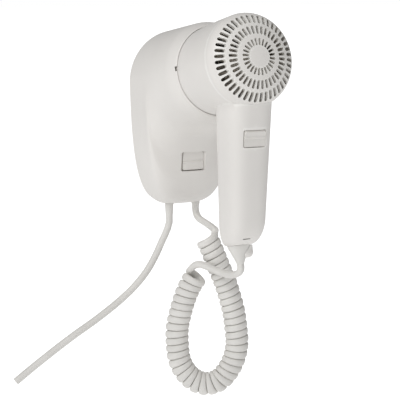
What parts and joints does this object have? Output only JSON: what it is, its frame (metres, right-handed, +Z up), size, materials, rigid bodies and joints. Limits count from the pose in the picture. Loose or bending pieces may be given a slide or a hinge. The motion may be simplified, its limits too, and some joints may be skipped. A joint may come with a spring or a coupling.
{
  "type": "wall-mounted hair dryer",
  "caption": "Wall-mounted hair dryer: a rounded base whose round cradle holds the handset nose first, a domed slotted grille, rocker switches, a coiled cord and a mains lead.",
  "frame": {"origin": "centre of the wall plate's back face", "axes": "+Z up, -Y out from the wall, +X to the right as seen from the room"},
  "size_m": [0.2345, 0.1777, 0.3795],
  "materials": {
    "housing_plastic": "warm off-white moulded plastic with a soft satin sheen",
    "rocker_plastic": "slightly glossier off-white moulded plastic",
    "dark_plastic": "matte grey-brown heat-resistant moulded plastic",
    "cord_sheath": "smooth pale grey flexible sheath",
    "mica": "layered mica sheet",
    "steel": "plated steel",
    "heating_wire": "oxidised resistance wire"
  },
  "bodies": {
    "base": {"base_shell": "housing_plastic", "wall_plate": "dark_plastic", "back_screw_1": "steel", "back_screw_2": "steel", "back_screw_3": "steel", "back_screw_4": "steel", "cradle_cup": "housing_plastic", "base_rocker_pin": "steel", "base_switch_body": "dark_plastic", "terminal_block": "dark_plastic", "mains_strain_relief": "cord_sheath", "base_coil_strain_relief": "cord_sheath", "mains_lead": "cord_sheath", "coil_lead_base": "cord_sheath", "curly_coil": "cord_sheath", "coil_lead_handset": "cord_sheath"},
    "handset": {"handset_shell_left": "housing_plastic", "handset_shell_right": "housing_plastic", "handle_rocker_pin": "steel", "handle_switch_body": "dark_plastic", "handle_screw_1": "steel", "handle_screw_2": "steel", "handle_strain_relief": "cord_sheath", "handle_end_boss": "housing_plastic", "rear_grille": "housing_plastic", "fan_duct": "dark_plastic", "motor_can": "steel", "motor_end_cap": "dark_plastic", "mica_frame": "mica", "heating_coil": "heating_wire", "heat_shield": "mica", "thermostat": "steel", "thermal_fuse": "steel", "outlet_grille": "dark_plastic"},
    "fan": {"fan_impeller": "dark_plastic", "motor_shaft": "steel"},
    "base_rocker": {"base_rocker": "rocker_plastic"},
    "handle_rocker": {"handle_rocker": "rocker_plastic"}
  },
  "joints": [
    {"name": "handset_lift_off", "type": "slide", "parent": "base", "child": "handset", "axis": [0, -0.9781, 0.2079], "range_m": [0, 0.075]},
    {"name": "fan_spin", "type": "hinge", "parent": "handset", "child": "fan", "pos_m": [0, -0.13119, 0.05969], "axis": [0, -0.9781, 0.2079], "continuous": true},
    {"name": "base_rocker_tilt", "type": "hinge", "parent": "base", "child": "base_rocker", "pos_m": [0, -0.03616, -0.04082], "axis": [1, 0, 0], "range_deg": [0, 14]},
    {"name": "handle_rocker_tilt", "type": "hinge", "parent": "handset", "child": "handle_rocker", "pos_m": [0, -0.1624, -0.00623], "axis": [1, 0, 0], "range_deg": [-14, 0]}
  ]
}
